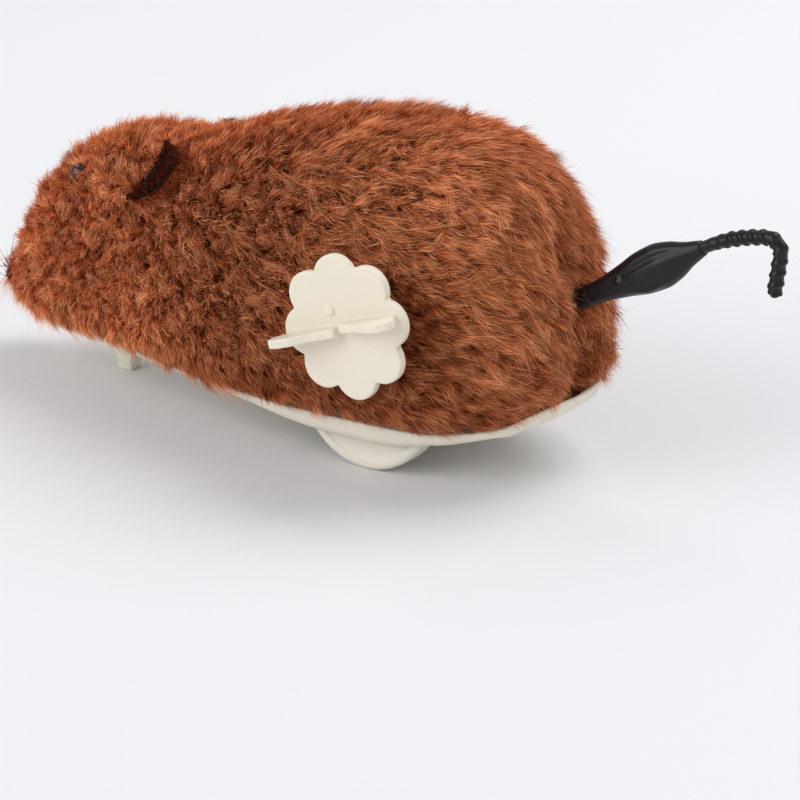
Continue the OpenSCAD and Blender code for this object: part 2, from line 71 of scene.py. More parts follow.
def makeCamera(setup):
    data = bpy.data.cameras.new("camera")
    data.lens = setup["lens"]
    data.sensor_width = 36.0
    data.shift_y = setup["shiftY"]
    data.clip_start = 0.01
    data.clip_end = 50.0
    camera = bpy.data.objects.new("camera", data)
    bpy.context.scene.collection.objects.link(camera)
    camera.location = Vector(setup["place"]) * mm
    look = -headingVector(setup["azimuth"], setup["elevation"])
    camera.rotation_euler = look.to_track_quat("-Z", "Y").to_euler()
    bpy.context.scene.camera = camera


makeCamera(cameraSetup)
print("camera ready")

studioSetup = {
    "worldColor": (0.93, 0.95, 1.0),
    "worldStrength": 0.54,
    "floorColor": (0.80, 0.80, 0.81),
    "floorSize": 6.0,
}
lampSetups = [
    {"name": "topLamp", "place": (-0.60, 0.35, 1.05), "aim": (0, 0.03, 0.02), "size": 0.9, "power": 8.8},
    {"name": "sideLamp", "place": (1.05, -0.65, 0.62), "aim": (0, 0.0, 0.03), "size": 1.1, "power": 9.8},
    {"name": "rearLamp", "place": (0.55, 1.25, 0.60), "aim": (0, 0.06, 0.03), "size": 0.8, "power": 1.5},
]


def linkMesh(name, mesh):
    piece = bpy.data.objects.new(name, mesh)
    bpy.context.scene.collection.objects.link(piece)
    return piece


def newMaterial(name):
    material = bpy.data.materials.new(name)
    material.use_nodes = True
    tree = material.node_tree
    shader = tree.nodes["Principled BSDF"]
    return material, tree, shader


def makeStudio(setup, lamps):
    scene = bpy.context.scene
    world = bpy.data.worlds.new("studio")
    scene.world = world
    world.use_nodes = True
    sky = world.node_tree.nodes["Background"]
    sky.inputs["Color"].default_value = (*setup["worldColor"], 1)
    sky.inputs["Strength"].default_value = setup["worldStrength"]
    scene.view_settings.view_transform = "Standard"
    half = setup["floorSize"] / 2
    mesh = bpy.data.meshes.new("floor")
    corners = [(-half, -half, 0), (half, -half, 0), (half, half, 0), (-half, half, 0)]
    mesh.from_pydata(corners, [], [(0, 1, 2, 3)])
    floor = linkMesh("floor", mesh)
    material, tree, shader = newMaterial("paperFloor")
    shader.inputs["Base Color"].default_value = (*setup["floorColor"], 1)
    shader.inputs["Roughness"].default_value = 0.85
    mesh.materials.append(material)
    for lamp in lamps:
        data = bpy.data.lights.new(lamp["name"], "AREA")
        data.size = lamp["size"]
        data.energy = lamp["power"]
        light = bpy.data.objects.new(lamp["name"], data)
        scene.collection.objects.link(light)
        light.location = lamp["place"]
        aim = Vector(lamp["aim"]) - light.location
        light.rotation_euler = aim.to_track_quat("-Z", "Y").to_euler()


makeStudio(studioSetup, lampSetups)
print("studio ready")

# shader node groups


def addNode(tree, kind, **inputs):
    node = tree.nodes.new(kind)
    for key, value in inputs.items():
        node.inputs[key.replace("_", " ")].default_value = value
    return node


def newGroup(name, inputs, outputs):
    group = bpy.data.node_groups.new(name, "ShaderNodeTree")
    for label, kind, value in inputs:
        socket = group.interface.new_socket(name=label, in_out="INPUT", socket_type=kind)
        socket.default_value = value
    for label, kind in outputs:
        group.interface.new_socket(name=label, in_out="OUTPUT", socket_type=kind)
    return group, group.nodes.new("NodeGroupInput"), group.nodes.new("NodeGroupOutput")


def mixColors(tree, factor, first, second, mode="MIX"):
    mix = tree.nodes.new("ShaderNodeMix")
    mix.data_type = "RGBA"
    mix.blend_type = mode
    sockets = (mix.inputs["Factor"], mix.inputs[6], mix.inputs[7])
    for socket, value in zip(sockets, (factor, first, second)):
        if isinstance(value, (int, float)):
            socket.default_value = value
        elif isinstance(value, tuple):
            socket.default_value = (*value, 1)
        else:
            tree.links.new(value, socket)
    return mix.outputs[2]


def mathNode(tree, operation, first, second=None, clamp=False):
    node = tree.nodes.new("ShaderNodeMath")
    node.operation = operation
    node.use_clamp = clamp
    for socket, value in zip(node.inputs, (first, second)):
        if value is None:
            continue
        if isinstance(value, (int, float)):
            socket.default_value = value
        else:
            tree.links.new(value, socket)
    return node.outputs[0]


def noiseNode(tree, vector, scale, detail=2.0):
    noise = addNode(tree, "ShaderNodeTexNoise", Detail=detail)
    tree.links.new(vector, noise.inputs["Vector"])
    if isinstance(scale, (int, float)):
        noise.inputs["Scale"].default_value = scale
    else:
        tree.links.new(scale, noise.inputs["Scale"])
    return noise.outputs["Fac"]


surfaceOutputs = [
    ("Color", "NodeSocketColor"),
    ("Roughness", "NodeSocketFloat"),
    ("Height", "NodeSocketFloat"),
]


def moldedSurfaceGroup():
    # faint flow clouds, fine grain and handling marks of moulded plastic
    group, source, result = newGroup(
        "moldedSurface",
        [("Color", "NodeSocketColor", (0.8, 0.8, 0.8, 1)),
         ("Shade Color", "NodeSocketColor", (0.6, 0.6, 0.6, 1)),
         ("Cloud Scale", "NodeSocketFloat", 90.0),
         ("Grain Scale", "NodeSocketFloat", 4200.0),
         ("Roughness", "NodeSocketFloat", 0.4),
         ("Roughness Spread", "NodeSocketFloat", 0.1)],
        surfaceOutputs)
    links = group.links
    place = group.nodes.new("ShaderNodeTexCoord").outputs["Object"]
    cloud = noiseNode(group, place, source.outputs["Cloud Scale"], 3.0)
    grain = noiseNode(group, place, source.outputs["Grain Scale"], 2.0)
    fade = mathNode(group, "MULTIPLY", cloud, 0.55, True)
    color = mixColors(group, fade, source.outputs["Color"], source.outputs["Shade Color"])
    links.new(color, result.inputs["Color"])
    swing = mathNode(group, "SUBTRACT", cloud, 0.5)
    spread = mathNode(group, "MULTIPLY", swing, source.outputs["Roughness Spread"])
    roughness = mathNode(group, "ADD", source.outputs["Roughness"], spread, True)
    links.new(roughness, result.inputs["Roughness"])
    height = mathNode(group, "ADD", mathNode(group, "MULTIPLY", grain, 0.35), cloud)
    links.new(height, result.inputs["Height"])
    return group


def drawnMetalGroup():
    # streaks along one axis, with a little tarnish between them
    group, source, result = newGroup(
        "drawnMetal",
        [("Color", "NodeSocketColor", (0.6, 0.6, 0.6, 1)),
         ("Tarnish Color", "NodeSocketColor", (0.4, 0.4, 0.4, 1)),
         ("Stretch", "NodeSocketVector", (1.0, 1.0, 1.0)),
         ("Scale", "NodeSocketFloat", 900.0)],
        surfaceOutputs)
    links = group.links
    place = group.nodes.new("ShaderNodeTexCoord").outputs["Object"]
    stretched = group.nodes.new("ShaderNodeVectorMath")
    stretched.operation = "MULTIPLY"
    links.new(place, stretched.inputs[0])
    links.new(source.outputs["Stretch"], stretched.inputs[1])
    streak = noiseNode(group, stretched.outputs[0], source.outputs["Scale"], 3.0)
    patch = noiseNode(group, place, 160.0, 2.0)
    blend = mathNode(group, "MULTIPLY", patch, streak, True)
    color = mixColors(group, blend, source.outputs["Color"], source.outputs["Tarnish Color"])
    links.new(color, result.inputs["Color"])
    roughness = mathNode(group, "ADD", mathNode(group, "MULTIPLY", streak, 0.25), 0.2)
    links.new(roughness, result.inputs["Roughness"])
    links.new(streak, result.inputs["Height"])
    return group


def clothFibreGroup():
    # fine fibres and slow patches, as masks
    group, source, result = newGroup(
        "clothFibre",
        [("Fibre Scale", "NodeSocketFloat", 2000.0),
         ("Fibre Detail", "NodeSocketFloat", 2.0),
         ("Patch Scale", "NodeSocketFloat", 240.0)],
        [("Fibre", "NodeSocketFloat"), ("Patch", "NodeSocketFloat")])
    links = group.links
    place = group.nodes.new("ShaderNodeTexCoord").outputs["Object"]
    fibre = noiseNode(group, place, source.outputs["Fibre Scale"], 2.0)
    links.new(source.outputs["Fibre Detail"], fibre.node.inputs["Detail"])
    links.new(fibre, result.inputs["Fibre"])
    links.new(noiseNode(group, place, source.outputs["Patch Scale"], 2.0), result.inputs["Patch"])
    return group


moldedSurface = moldedSurfaceGroup()
drawnMetal = drawnMetalGroup()
clothFibre = clothFibreGroup()


def placeGroup(tree, group, values):
    node = tree.nodes.new("ShaderNodeGroup")
    node.node_tree = group
    for label, value in values.items():
        socket = node.inputs[label]
        socket.default_value = (*value, 1) if socket.type == "RGBA" else value
    return node


def bumpFrom(tree, height, strength, distance):
    bump = addNode(tree, "ShaderNodeBump", Strength=strength, Distance=distance)
    tree.links.new(height, bump.inputs["Height"])
    return bump.outputs["Normal"]


def plasticMaterial(name, look):
    material, tree, shader = newMaterial(name)
    group = placeGroup(tree, moldedSurface, {
        "Color": look["color"],
        "Shade Color": look["shade"],
        "Cloud Scale": look.get("clouds", 90.0),
        "Grain Scale": look.get("grain", 4200.0),
        "Roughness": look["roughness"],
        "Roughness Spread": look.get("spread", 0.12)})
    tree.links.new(group.outputs["Color"], shader.inputs["Base Color"])
    tree.links.new(group.outputs["Roughness"], shader.inputs["Roughness"])
    normal = bumpFrom(tree, group.outputs["Height"], look.get("bump", 0.25), look.get("depth", 0.00008))
    tree.links.new(normal, shader.inputs["Normal"])
    shader.inputs["IOR"].default_value = look.get("ior", 1.48)
    shader.inputs["Subsurface Weight"].default_value = look.get("glow", 0.0)
    shader.inputs["Subsurface Radius"].default_value = (0.9, 0.7, 0.5)
    shader.inputs["Subsurface Scale"].default_value = 0.002
    return material


def metalMaterial(name, look):
    material, tree, shader = newMaterial(name)
    group = placeGroup(tree, drawnMetal, {
        "Color": look["color"],
        "Tarnish Color": look["tarnish"],
        "Stretch": look["stretch"],
        "Scale": look["scale"]})
    tree.links.new(group.outputs["Color"], shader.inputs["Base Color"])
    tree.links.new(group.outputs["Roughness"], shader.inputs["Roughness"])
    tree.links.new(bumpFrom(tree, group.outputs["Height"], 0.15, 0.00003), shader.inputs["Normal"])
    shader.inputs["Metallic"].default_value = 1.0
    return material


finishes = {
    "cream_plastic": plasticMaterial("creamPlastic", {
        "color": (0.82, 0.77, 0.64), "shade": (0.74, 0.68, 0.55), "roughness": 0.42,
        "glow": 0.08}),
    "knob_plastic": plasticMaterial("knobPlastic", {
        "color": (0.82, 0.755, 0.62), "shade": (0.76, 0.69, 0.55), "roughness": 0.36,
        "glow": 0.10, "clouds": 120.0}),
    "wheel_plastic": plasticMaterial("wheelPlastic", {
        "color": (0.82, 0.77, 0.66), "shade": (0.74, 0.69, 0.57), "roughness": 0.45,
        "glow": 0.06}),
    "shell_plastic": plasticMaterial("shellPlastic", {
        "color": (0.76, 0.72, 0.62), "shade": (0.68, 0.63, 0.53), "roughness": 0.55,
        "grain": 2600.0}),
    "motor_nylon": plasticMaterial("motorNylon", {
        "color": (0.80, 0.79, 0.74), "shade": (0.72, 0.70, 0.64), "roughness": 0.5,
        "glow": 0.05}),
    "bead_black": plasticMaterial("beadBlack", {
        "color": (0.010, 0.009, 0.009), "shade": (0.022, 0.018, 0.016), "roughness": 0.20,
        "spread": 0.08, "bump": 0.05, "clouds": 400.0}),
    "tail_black": plasticMaterial("tailBlack", {
        "color": (0.006, 0.006, 0.007), "shade": (0.014, 0.013, 0.014), "roughness": 0.30,
        "spread": 0.22, "bump": 0.35, "clouds": 420.0, "grain": 5200.0, "depth": 0.00006,
        "ior": 1.36}),
    "steel": metalMaterial("drawnSteel", {
        "color": (0.62, 0.62, 0.64), "tarnish": (0.40, 0.40, 0.42),
        "stretch": (0.08, 1.0, 1.0), "scale": 2600.0}),
    "spring_steel": metalMaterial("springSteel", {
        "color": (0.30, 0.32, 0.38), "tarnish": (0.16, 0.15, 0.16),
        "stretch": (0.1, 1.0, 1.0), "scale": 2200.0}),
    "brass": metalMaterial("turnedBrass", {
        "color": (0.78, 0.58, 0.26), "tarnish": (0.52, 0.34, 0.14),
        "stretch": (0.2, 1.0, 1.0), "scale": 1800.0}),
}


def dressNodes():
    for part in frame["record"]["subparts"]:
        finish = finishes.get(part["material_slot"])
        mesh = nodes[part["node"]].data
        if finish is None:
            continue
        mesh.materials.clear()
        mesh.materials.append(finish)


dressNodes()
print("materials ready")

# mesh helpers


def meshFromArrays(name, points, faceSizes, corners):
    mesh = bpy.data.meshes.new(name)
    mesh.vertices.add(len(points))
    mesh.vertices.foreach_set("co", np.ascontiguousarray(points, np.float32).ravel())
    mesh.loops.add(len(corners))
    mesh.loops.foreach_set("vertex_index", np.ascontiguousarray(corners, np.int32))
    mesh.polygons.add(len(faceSizes))
    starts = np.concatenate([[0], np.cumsum(faceSizes)[:-1]])
    mesh.polygons.foreach_set("loop_start", starts.astype(np.int32))
    mesh.polygons.foreach_set("loop_total", np.asarray(faceSizes, np.int32))
    mesh.update(calc_edges=True)
    return mesh


def unit(v):
    return v / np.maximum(np.linalg.norm(v, axis=-1, keepdims=True), 1e-12)


def nodeTriangles(name):
    mesh = nodes[name].data
    mesh.calc_loop_triangles()
    points = np.zeros(len(mesh.vertices) * 3)
    mesh.vertices.foreach_get("co", points)
    triangles = np.zeros(len(mesh.loop_triangles) * 3, int)
    mesh.loop_triangles.foreach_get("vertices", triangles)
    points, triangles = points.reshape(-1, 3), triangles.reshape(-1, 3)
    welded, index = np.unique(np.round(points, 7), axis=0, return_inverse=True)
    return welded, index.ravel()[triangles]


def softCopy(node, name, voxel, rounds, slot, body):
    # the moulded piece itself: the frame's shape with its edges and inner corners softened
    points, triangles = nodeTriangles(node)
    mesh = meshFromArrays(name, points, np.full(len(triangles), 3), triangles.ravel())
    piece = linkMesh(name, mesh)
    bpy.context.view_layer.objects.active = piece
    remesh = piece.modifiers.new("even", "REMESH")
    remesh.mode = "VOXEL"
    remesh.voxel_size = voxel
    smooth = piece.modifiers.new("soften", "SMOOTH")
    smooth.factor = 0.5
    smooth.iterations = rounds
    bpy.ops.object.modifier_apply(modifier="even")
    bpy.ops.object.modifier_apply(modifier="soften")
    piece.data.polygons.foreach_set("use_smooth", np.ones(len(piece.data.polygons), bool))
    piece.data.materials.clear()
    piece.data.materials.append(finishes[slot])
    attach(piece, body)
    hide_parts(node)
    return piece


# moulded pieces

softCopy("winding_knob", "windingKnob", 0.16 * mm, 14, "knob_plastic", "winder")
softCopy("base", "baseTray", 0.34 * mm, 4, "cream_plastic", "chassis")
for side in ("left", "right"):
    softCopy("drive_wheel_" + side, "driveWheel." + side, 0.25 * mm, 4, "wheel_plastic", "axle")
print("moulded pieces ready")

# tail

tailSetup = {
    "sleeveStart": 36.0,  # mm along the tail from the axle
    "sleeveEnd": 62.0,
    "leaf": [  # place along the tail, half the width, half the thickness
        (36.0, 1.65, 1.65), (38.4, 1.78, 1.72), (41.0, 1.95, 1.85),
        (46.0, 2.75, 2.2), (50.0, 3.55, 2.5), (53.0, 3.72, 2.5),
        (56.0, 3.15, 2.1), (59.0, 2.05, 1.6), (62.0, 1.25, 1.2)],
    "ringAt": 38.4,
    "whipRadius": 1.1,
    "ribStep": 1.85,
    "ribHeight": 0.24,
    "bendRadius": 30.0,
    "hookRadius": 2.2,
    "level": 7.0,  # headings, in degrees above level
    "hookEnd": -98.0,
    "tipLength": 6.5,
}
tailAxis = np.array(joints["tail_spin"]["axis"], float)
tailRoot = np.array(joints["tail_spin"]["pos_m"], float) / mm
sideways = np.array([1.0, 0.0, 0.0])


def smoothBetween(stations, s):
    # monotone cubic through (place, values...) stations
    table = np.array(stations, float)
    x = table[:, 0]
    i = int(np.clip(np.searchsorted(x, s) - 1, 0, len(x) - 2))
    secants = np.diff(table[:, 1:], axis=0) / np.diff(x)[:, None]

    def slopeAt(k):
        if k == 0 or k == len(x) - 1:
            return secants[min(k, len(secants) - 1)]
        a, b = secants[k - 1], secants[k]
        return np.where(a * b <= 0, 0, 2 * a * b / np.where(a + b == 0, 1, a + b))

    h = x[i + 1] - x[i]
    t = min(max((s - x[i]) / h, 0), 1)
    p0, p1, m0, m1 = table[i, 1:], table[i + 1, 1:], slopeAt(i) * h, slopeAt(i + 1) * h
    first = (2 * t**3 - 3 * t**2 + 1) * p0 + (t**3 - 2 * t**2 + t) * m0
    return first + (3 * t**2 - 2 * t**3) * p1 + (t**3 - t**2) * m1


def tubeMesh(name, rings, endPoints):
    count, around = len(rings), len(rings[0])
    points = np.concatenate([np.concatenate(rings), np.array(endPoints)])
    quads, triangles = [], []
    for i in range(count - 1):
        for j in range(around):
            k = (j + 1) % around
            quads += [i * around + j, i * around + k, (i + 1) * around + k, (i + 1) * around + j]
    for j in range(around):
        k = (j + 1) % around
        triangles += [k, j, count * around]
        triangles += [(count - 1) * around + j, (count - 1) * around + k, count * around + 1]
    sizes = np.concatenate([np.full(len(quads) // 4, 4), np.full(len(triangles) // 3, 3)])
    mesh = meshFromArrays(name, points * mm, sizes, np.array(quads + triangles))
    mesh.polygons.foreach_set("use_smooth", np.ones(len(mesh.polygons), bool))
    return mesh


def sleeveRing(s, around=72):
    wide, thick = smoothBetween(tailSetup["leaf"], s)
    up = unit(np.cross(sideways, tailAxis))
    swell = max(0.0, (wide - 1.9) / 1.9)  # 0 at the neck and root, 1 at the widest
    points = []
    for j in range(around):
        a = 2 * math.pi * j / around
        x, y = thick * math.cos(a), wide * math.sin(a)
        # a fold along the knob's side
        crease = math.exp(-((a - 0.42 - 0.022 * (s - 50)) / 0.16) ** 2)
        lower = math.exp(-((a - 5.45) / 0.13) ** 2) * math.exp(-((s - 50.5) / 2.6) ** 2)
        x += swell * (-0.42 * crease)
        grow = 1 + 0.16 * swell * lower
        ring = 0.16 * math.exp(-((s - tailSetup["ringAt"]) / 0.16) ** 2)
        nub = 0.35 * math.exp(-((s - 45.8) / 0.55) ** 2 - ((a - 0.15) / 0.2) ** 2)
        grow += (ring + nub) / max(wide, 1)
        points.append(tailRoot + tailAxis * s + sideways * x * grow + up * y * grow)
    return np.array(points)


def makeSleeve():
    s0, s1 = tailSetup["sleeveStart"], tailSetup["sleeveEnd"]
    stops = np.linspace(s0, s1, 131)
    rings = [sleeveRing(s) for s in stops]
    rings.insert(0, tailRoot + tailAxis * (s0 + 0.3) + (rings[0] - tailRoot - tailAxis * s0) * 0.62)
    ends = [tailRoot + tailAxis * (s0 + 0.6), tailRoot + tailAxis * (s1 + 0.2)]
    piece = linkMesh("tailSleeve", tubeMesh("tailSleeve", rings, ends))
    piece.data.materials.append(finishes["tail_black"])
    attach(piece, "tail")
    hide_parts("tail_sleeve")


def whipPath(step=0.12):
    # centre points and headings: out of the leaf, level off, hook down
    start = math.asin(tailAxis[2])
    level, end = math.radians(tailSetup["level"]), math.radians(tailSetup["hookEnd"])
    place = tailRoot[1:] + tailAxis[1:] * (tailSetup["sleeveEnd"] - 0.6)
    heading, travelled = start, 0.0
    bend, hook = tailSetup["bendRadius"], tailSetup["hookRadius"]
    legs = [(0.6, 0.0), (bend * (start - level), -1 / bend), (hook * (level - end), -1 / hook),
            (tailSetup["tipLength"], 0.0)]
    stops = []
    for length, turn in legs:
        count = max(2, round(length / step))
        ds = length / count
        for _ in range(count):
            stops.append((place.copy(), heading, travelled))
            heading += turn * ds / 2
            place = place + ds * np.array([math.cos(heading), math.sin(heading)])
            heading += turn * ds / 2
            travelled += ds
    stops.append((place.copy(), heading, travelled))
    return stops


def ribProfile(phase):
    saw = phase - math.floor(phase)
    return 0.5 - 0.5 * math.cos(2 * math.pi * saw**1.6)


def makeWhip():
    stops, rings, around = whipPath(), [], 28
    total = stops[-1][2]
    for place, heading, s in stops:
        up = np.array([0.0, -math.sin(heading), math.cos(heading)])
        base = tailSetup["whipRadius"] * (0.9 + 0.1 * min(1.0, s / 6))
        grown = min(1.0, max(0.0, (s - 1.5) / 5))
        closing = min(1.0, math.sqrt(max(0.0, (total - s) / 0.9)) + 0.55) if total - s < 0.9 else 1.0
        ring = []
        for j in range(around):
            a = 2 * math.pi * j / around
            rib = ribProfile(s / tailSetup["ribStep"] + 0.22 * math.sin(a))
            r = (base + grown * tailSetup["ribHeight"] * rib) * closing
            ring.append(np.array([0.0, *place]) + sideways * r * math.cos(a) + up * r * math.sin(a))
        rings.append(np.array(ring))
    along = np.array([0.0, math.cos(stops[-1][1]), math.sin(stops[-1][1])])
    tip = np.array([0.0, *stops[-1][0]])
    rings.append(tip + along * 0.35 + (rings[-1] - tip) * 0.86)
    rings.append(tip + along * 0.42 + (rings[-2] - tip) * 0.5)
    rings.append(tip + along * 0.22 + (rings[-3] - tip) * 0.42)  # the small hollow in the moulded end
    ends = [np.array([0.0, *stops[0][0]]), tip + along * 0.2]
    piece = linkMesh("tailWhip", tubeMesh("tailWhip", rings, ends))
    piece.data.materials.append(finishes["tail_black"])
    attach(piece, "tail")
    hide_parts("tail_whip")


makeSleeve()
makeWhip()
print("tail ready")

# where the ears sit

earSetup = {
    "place": (16.2, 13.8, 37.3),  # mm, where the seam's lower end starts
    "turn": (45.0, -20.0, 61.0),
    "fold": 4.0,
    "length": 12.6,
    "width": 7.6,
    "seam": 1.4,
    "cup": 15.0,
    "thick": 0.9,
    "fuzz": 2000,
}


def earPoint(side, along, across, lift):
    # across runs from 0 at the seam to 1 at the free edge
    tall, w, seam, cup = (earSetup[key] for key in ("length", "width", "seam", "cup"))
    bow = math.sin(math.pi * min(max(along, 0), 1)) ** 0.8
    bow *= 1 + 0.22 * math.sin(2 * math.pi * (along - 0.25)) * 0.5
    x = -seam * bow + (w + seam) * bow * across
    y = tall * along
    away = (x - 2.2) ** 2 + (y - tall / 2) ** 2
    z = cup - 1 - math.sqrt(max(cup * cup - away, 1)) + lift - 0.4 * across * bow
    local = Vector((x, y, z))
    local.rotate(Matrix.Rotation(math.radians(earSetup["fold"]), 3, "Y"))
    for axis, angle in zip("XYZ", earSetup["turn"]):
        local.rotate(Matrix.Rotation(math.radians(angle), 3, axis))
    local += Vector(earSetup["place"])
    return Vector((local.x * side, local.y, local.z)) * mm


def earCupTree():
    # places just inside each cup, where no pile may grow
    tree = KDTree(2 * 21 * 11)
    for k in range(2 * 21 * 11):
        side, i, j = k % 2 * 2 - 1, k // 2 % 21, k // 42
        tree.insert(earPoint(side, 0.06 + 0.88 * i / 20, 0.40 + 0.60 * j / 10, 1.4), k)
    tree.balance()
    return tree


# fur

furSetup = {
    "strands": 420000,
    "tufts": 12000,
    "width": 0.100,  # mm at the root
    "rumpLean": 43.0,  # degrees from upright
    "headLean": 33.0,
    "headEnd": 12.0,  # mm along the body, where the short fuzzy head fur ends
    "rumpStart": 42.0,
    "guardShare": 0.012,
    "fringeShare": 0.035,  # extra strands round the front's lower edge
    "clump": 0.5,
    "curl": 0.30,  # mm a tuft wanders sideways
    "hubClear": 3.5,  # mm kept free of pile round the key's hub
    "tailClear": 1.85,
    "floorClear": 4.0,
    "cupClear": 1.1,
    "pieceFaces": 62000,  # faces in one piece of pile
    "seed": 11,
}
random = np.random.default_rng(furSetup["seed"])


def outerSkin():
    # the outside of the cover: welded points, triangles, smooth normals and depth down to the backing
    points, triangles = nodeTriangles("fur_cover")
    a, b, c = (points[triangles[:, k]] for k in range(3))
    cross = np.cross(b - a, c - a)
    normals, centres = unit(cross), (a + b + c) / 3
    along = np.clip(centres[:, 1], 0.0, 0.070)
    middle = np.stack([np.zeros(len(centres)), along, np.full(len(centres), 0.020)], 1)
    tree = BVHTree.FromPolygons([Vector(p) for p in points], [tuple(map(int, t)) for t in triangles])
    keep = np.zeros(len(triangles), bool)
    for i in range(len(triangles)):
        hit = tree.ray_cast(Vector(centres[i] - normals[i] * 2e-5), Vector(-normals[i]), 0.0065)
        if hit[0] is None or hit[3] < 0.0006 or normals[i, 2] < -0.93:
            continue
        behind = np.linalg.norm(np.array(hit[0]) - middle[i])
        keep[i] = behind < np.linalg.norm(centres[i] - middle[i]) - 3e-4
    triangles = triangles[keep]
    vertexNormals = np.zeros_like(points)
    for k in range(3):
        np.add.at(vertexNormals, triangles[:, k], cross[keep])
    vertexNormals = unit(vertexNormals)
    depth = np.full(len(points), 0.0025)
    for i in np.unique(triangles):
        start = Vector(points[i] - vertexNormals[i] * 2e-5)
        hit = tree.ray_cast(start, Vector(-vertexNormals[i]), 0.0065)
        if hit[0] is not None:
            depth[i] = min(max(hit[3], 0.0010), 0.0044)
    return points, triangles, vertexNormals, depth


def creaseSkin(rows=14, columns=26):
    # the turned-in cloth that closes the seam between the haunches, under the tail
    points, triangles = [], []
    for i in range(rows + 1):
        z = 11.8 + 10.4 * i / rows
        rise = min(1.0, (z - 11.0) / 6)
        rise = rise * rise * (3 - 2 * rise)
        for j in range(columns + 1):
            x = -9.0 + 18.0 * j / columns
            y = 89.3 + (0.6 + 3.9 * (1 - math.exp(-(x / 3) ** 2))) * rise - 0.02 * x * x
            points.append((x * mm, y * mm, z * mm))
    for i in range(rows):
        for j in range(columns):
            k = i * (columns + 1) + j
            triangles += [(k, k + columns + 1, k + 1), (k + 1, k + columns + 1, k + columns + 2)]
    points, triangles = np.array(points), np.array(triangles)
    a, b, c = (points[triangles[:, k]] for k in range(3))
    normals = np.zeros_like(points)
    for k in range(3):
        np.add.at(normals, triangles[:, k], np.cross(b - a, c - a))
    normals = unit(normals)
    normals *= np.sign((normals[:, 1:2]).sum())
    return points, triangles, normals, np.full(len(points), 0.0022)


def joinSkins(first, second):
    shift = len(first[0])
    return (np.concatenate([first[0], second[0]]), np.concatenate([first[1], second[1] + shift]),
            np.concatenate([first[2], second[2]]), np.concatenate([first[3], second[3]]))


skinPoints, skinTriangles, skinNormals, skinDepth = joinSkins(outerSkin(), creaseSkin())


def sampleSkin(count, below=None):
    # below keeps to the front's lower edge, up to that height in mm
    a, b, c = (skinPoints[skinTriangles[:, k]] for k in range(3))
    area = np.linalg.norm(np.cross(b - a, c - a), axis=1) / 2
    if below is not None:
        centre = (a + b + c) / 3
        area = area * (centre[:, 2] < below * mm) * (centre[:, 1] < 0.034)
    chosen = random.choice(len(skinTriangles), count, p=area / area.sum())
    u, v = random.random(count), random.random(count)
    flip = u + v > 1
    u[flip], v[flip] = 1 - u[flip], 1 - v[flip]
    weights = np.stack([1 - u - v, u, v], 1)
    corners = skinTriangles[chosen]
    place = (skinPoints[corners] * weights[:, :, None]).sum(1)
    normal = unit((skinNormals[corners] * weights[:, :, None]).sum(1))
    return place, normal, (skinDepth[corners] * weights).sum(1)


def rumpShare(place):
    t = (place[:, 1] / mm - furSetup["headEnd"]) / (furSetup["rumpStart"] - furSetup["headEnd"])
    t = np.clip(t, 0, 1)
    return t * t * (3 - 2 * t)


def flowAlong(place, normal, spread):
    # the lie of the pile: rearwards, falling a little, and down over the rump
    count = len(place)
    rearness = np.clip((place[:, 1] / mm - 80) / 12, 0, 1)
    low = np.clip((17 - place[:, 2] / mm) / 7, 0, 1) * np.clip((44 - place[:, 1] / mm) / 20, 0.15, 1)
    lie = np.stack([np.sign(place[:, 0]) * 0.05, np.ones(count), -0.02 - 0.40 * rearness - 1.3 * low], 1)
    lie += random.normal(0, 1, (count, 3)) * spread[:, None]
    lie -= (lie * normal).sum(1)[:, None] * normal
    return unit(lie)


def patches(place):
    # slow changes of shade over the coat
    x, y, z = (place / mm).T
    waves = np.sin(0.31 * y + 0.17 * z + 1.3) + np.sin(0.23 * z - 0.12 * y + 0.35 * x)
    return 0.05 * (waves + np.sin(0.55 * y - 0.4 * z))


def tuftField():
    place, normal, depth = sampleSkin(furSetup["tufts"])
    rump = rumpShare(place)
    flow = flowAlong(place, normal, 0.75 - 0.33 * rump)
    # painted shade: the pile's tint is darker low on the rump and a little lighter high on it, standing in for
    # light from above
    paintedRumpShade = 0.16 * rump * np.clip((42 - place[:, 2] / mm) / 22, -0.8, 1)
    tree = KDTree(len(place))
    for i, p in enumerate(place):
        tree.insert(Vector(p), i)
    tree.balance()
    return {
        "tree": tree, "flow": flow, "place": place,
        "length": random.normal(0.98, 0.15, len(place)).clip(0.6, 1.25),
        "lean": random.normal(0.0, 9.0, len(place)),
        "tint": random.normal(0.0, 0.16, len(place)) + patches(place) + 0.16 * (1 - rump) - paintedRumpShade,
        "curl": random.normal(0.0, 1.0, (len(place), 3)) * furSetup["curl"] * mm,
    }


def nearestTuft(tufts, place):
    return np.array([tufts["tree"].find(Vector(p))[1] for p in place])


